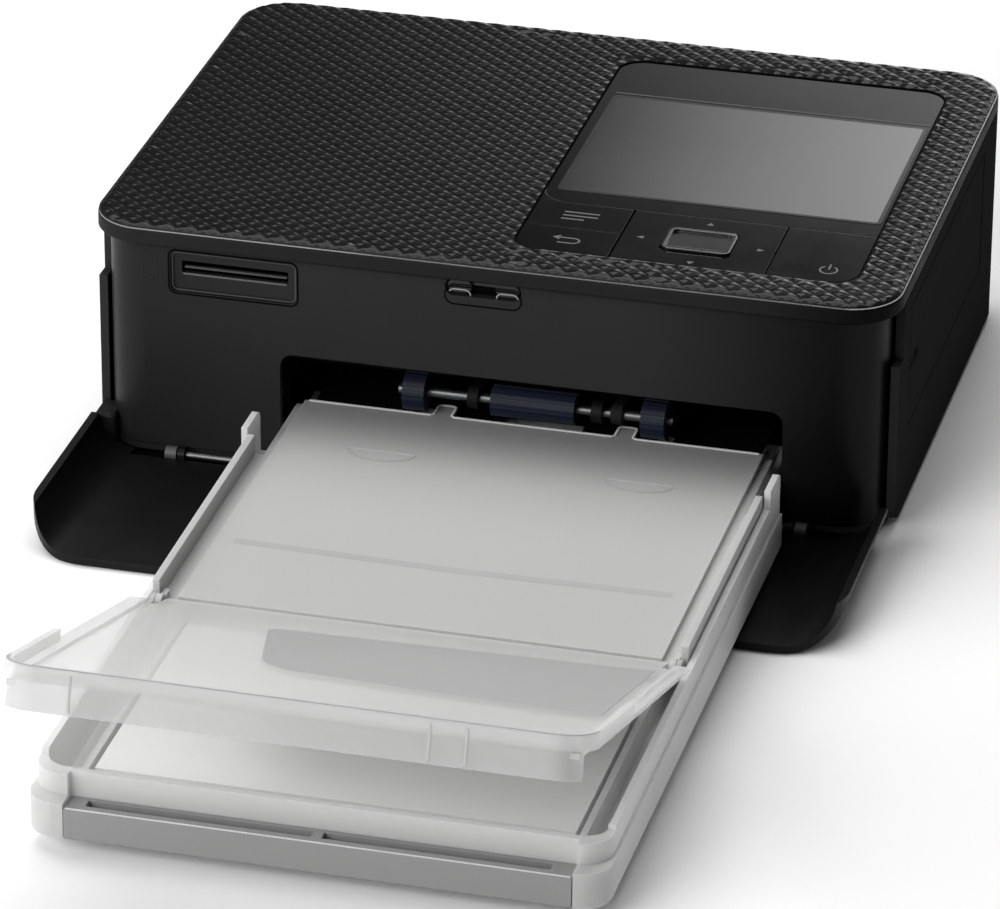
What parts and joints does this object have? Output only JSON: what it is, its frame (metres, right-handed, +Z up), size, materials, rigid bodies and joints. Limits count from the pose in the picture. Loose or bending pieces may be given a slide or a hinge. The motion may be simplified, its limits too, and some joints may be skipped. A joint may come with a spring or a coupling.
{
  "type": "compact photo printer",
  "caption": "Compact dye photo printer with open front cover, inserted paper cassette with raised translucent flap, display and keys on top, ink bay and roller drive inside.",
  "frame": {"origin": "centre of the bounding box's footprint, on the table: under the body near its front cover hinge", "axes": "+X to the right seen from the front, +Y from the cassette to the back of the body, +Z up"},
  "size_m": [0.1822, 0.3214, 0.058],
  "materials": {
    "black_textured": "black, raised diamond texture, satin",
    "black_satin": "black, satin",
    "black_gloss": "black, glossy",
    "display": "dark grey display",
    "circuit_board": "green solder mask",
    "rubber_black": "black rubber",
    "rubber_blue": "dark blue ribbed rubber",
    "steel": "plain steel",
    "aluminium_plain": "extruded",
    "brass_plain": "turned",
    "plastic_black_inner": "black, dull",
    "plastic_white": "off-white, dull",
    "plastic_yellow": "yellow, dull",
    "ink_shell_grey": "dark grey, dull",
    "ink_film": "dyed film",
    "ceramic": "glazed ceramic and resin",
    "frosted_clear": "pale grey, frosted translucent",
    "grey_opaque": "mid grey, satin",
    "paper_white": "coated photo paper"
  },
  "bodies": {
    "body": {"top_cover": "black_textured", "control_window": "black_gloss", "lcd_module": "display", "control_board": "circuit_board", "key_switches": "steel", "front_fascia": "black_satin", "side_panel_left": "black_satin", "side_panel_right": "black_satin", "rear_panel": "black_satin", "bottom_cover": "black_satin", "feet": "rubber_black", "case_screws": "steel", "card_reader": "steel", "latch_tabs": "black_gloss", "cover_hinge_pins": "steel", "cover_hinge_bushes": "black_satin", "chassis_left_plate": "steel", "chassis_right_plate": "steel", "paper_guides": "plastic_black_inner", "shaft_brackets": "plastic_black_inner", "feed_motor": "steel", "ribbon_motor": "steel", "main_board": "circuit_board", "dc_jack": "plastic_black_inner", "usb_port": "steel", "ink_cassette_shell": "ink_shell_grey", "ink_ribbon": "ink_film", "shaft_bearings": "brass_plain", "drive_belt": "rubber_black"},
    "head": {"thermal_head": "ceramic", "heat_sink": "aluminium_plain"},
    "supply_roll": {"supply_spool": "plastic_yellow"},
    "takeup_roll": {"takeup_spool": "plastic_white", "takeup_gear": "plastic_white"},
    "ribbon_motor_pinion": {"ribbon_pinion": "brass_plain"},
    "platen": {"platen_shaft": "steel", "platen_sleeve": "rubber_black"},
    "grip": {"grip_roller": "steel", "grip_gear": "plastic_white"},
    "pinch": {"pinch_roller": "rubber_black"},
    "idler": {"idler_gear": "plastic_white"},
    "feed_motor_pinion": {"motor_pinion": "brass_plain"},
    "pickup": {"pickup_shaft": "steel", "pickup_rollers": "rubber_blue"},
    "pickup_drive": {"pickup_drive_shaft": "steel", "pickup_drive_gear": "plastic_white"},
    "cover": {"front_cover": "black_satin"},
    "ink_door_panel": {"ink_door": "black_satin"},
    "lever": {"eject_lever": "plastic_white"},
    "menu": {"menu_key": "black_gloss"},
    "back": {"back_key": "black_gloss"},
    "pad": {"direction_pad": "black_gloss"},
    "ok": {"ok_key": "black_gloss"},
    "power": {"power_key": "black_gloss"},
    "cassette": {"cassette_base": "frosted_clear", "cassette_bar": "grey_opaque"},
    "lid": {"cassette_lid": "frosted_clear"},
    "flap": {"lid_flap": "frosted_clear"},
    "paper": {"lift_plate": "steel", "paper_stack": "paper_white"}
  },
  "joints": [
    {"name": "grip_spin", "type": "hinge", "parent": "body", "child": "grip", "pos_m": [0.01, 0.06368, 0.013], "axis": [1, 0, 0], "continuous": true},
    {"name": "platen_spin", "type": "hinge", "parent": "body", "child": "platen", "pos_m": [0.01, 0.09168, 0.0105], "axis": [1, 0, 0], "continuous": true},
    {"name": "pinch_spin", "type": "hinge", "parent": "body", "child": "pinch", "pos_m": [0.01, 0.06368, 0.0183], "axis": [1, 0, 0], "continuous": true},
    {"name": "idler_spin", "type": "hinge", "parent": "body", "child": "idler", "pos_m": [0.01, 0.08548, 0.02093], "axis": [1, 0, 0], "continuous": true},
    {"name": "feed_motor_spin", "type": "hinge", "parent": "body", "child": "feed_motor_pinion", "pos_m": [0.01, 0.10402, 0.0259], "axis": [1, 0, 0], "continuous": true},
    {"name": "pickup_drive_spin", "type": "hinge", "parent": "body", "child": "pickup_drive", "pos_m": [0.01, 0.05029, 0.0202], "axis": [1, 0, 0], "continuous": true},
    {"name": "pickup_spin", "type": "hinge", "parent": "body", "child": "pickup", "pos_m": [0.01, 0.03568, 0.0216], "axis": [1, 0, 0], "continuous": true},
    {"name": "takeup_spin", "type": "hinge", "parent": "body", "child": "takeup_roll", "pos_m": [0.01, 0.06368, 0.033], "axis": [1, 0, 0], "continuous": true},
    {"name": "ribbon_motor_spin", "type": "hinge", "parent": "body", "child": "ribbon_motor_pinion", "pos_m": [0.01, 0.07407, 0.039], "axis": [1, 0, 0], "continuous": true},
    {"name": "supply_spin", "type": "hinge", "parent": "body", "child": "supply_roll", "pos_m": [0.01, 0.11968, 0.033], "axis": [1, 0, 0], "continuous": true},
    {"name": "head_lift", "type": "slide", "parent": "body", "child": "head", "axis": [0, 0, 1], "range_m": [0, 0.0038]},
    {"name": "front_cover_hinge", "type": "hinge", "parent": "body", "child": "cover", "pos_m": [0, 0.02828, 0.0024], "axis": [-1, 0, 0], "range_deg": [0, 1.2]},
    {"name": "ink_door_hinge", "type": "hinge", "parent": "body", "child": "ink_door_panel", "pos_m": [0.09009, 0.13328, 0.0349], "axis": [0, 0, 1], "range_deg": [0, 100]},
    {"name": "eject_lever_slide", "type": "slide", "parent": "body", "child": "lever", "axis": [0, 1, 0], "range_m": [0, 0.003], "stiffness_N_per_m": 150},
    {"name": "menu_press", "type": "slide", "parent": "body", "child": "menu", "axis": [0, 0, -1], "range_m": [0, 0.0004], "stiffness_N_per_m": 500, "springref_m": -0.0004},
    {"name": "back_press", "type": "slide", "parent": "body", "child": "back", "axis": [0, 0, -1], "range_m": [0, 0.0004], "stiffness_N_per_m": 500, "springref_m": -0.0004},
    {"name": "direction_press", "type": "slide", "parent": "body", "child": "pad", "axis": [0, 0, -1], "range_m": [0, 0.0004], "stiffness_N_per_m": 500, "springref_m": -0.0004},
    {"name": "ok_press", "type": "slide", "parent": "body", "child": "ok", "axis": [0, 0, -1], "range_m": [0, 0.0004], "stiffness_N_per_m": 500, "springref_m": -0.0004},
    {"name": "power_press", "type": "slide", "parent": "body", "child": "power", "axis": [0, 0, -1], "range_m": [0, 0.0004], "stiffness_N_per_m": 500, "springref_m": -0.0004},
    {"name": "cassette_slide", "type": "slide", "parent": "body", "child": "cassette", "axis": [0, -1, 0], "range_m": [0, 0.06]},
    {"name": "lid_slide", "type": "slide", "parent": "cassette", "child": "lid", "axis": [0, 1, 0], "range_m": [0, 0.0195]},
    {"name": "flap_hinge", "type": "hinge", "parent": "lid", "child": "flap", "pos_m": [0.01, -0.06632, 0.0163], "axis": [1, 0, 0], "range_deg": [0, 17.4]},
    {"name": "paper_lift", "type": "hinge", "parent": "cassette", "child": "paper", "pos_m": [0.01, -0.12812, 0.0055], "axis": [1, 0, 0], "range_deg": [0, 1.2]}
  ],
  "couplings": [
    {"joint": "platen_spin", "follows": "grip_spin", "ratio": 0.58333},
    {"joint": "pinch_spin", "follows": "grip_spin", "ratio": -2.1875},
    {"joint": "idler_spin", "follows": "grip_spin", "ratio": -0.61111},
    {"joint": "feed_motor_spin", "follows": "grip_spin", "ratio": 1.8333},
    {"joint": "pickup_drive_spin", "follows": "grip_spin", "ratio": -1.375},
    {"joint": "pickup_spin", "follows": "grip_spin", "ratio": -1.375},
    {"joint": "ribbon_motor_spin", "follows": "takeup_spin", "ratio": -1.5},
    {"joint": "supply_spin", "follows": "takeup_spin", "ratio": 1}
  ]
}
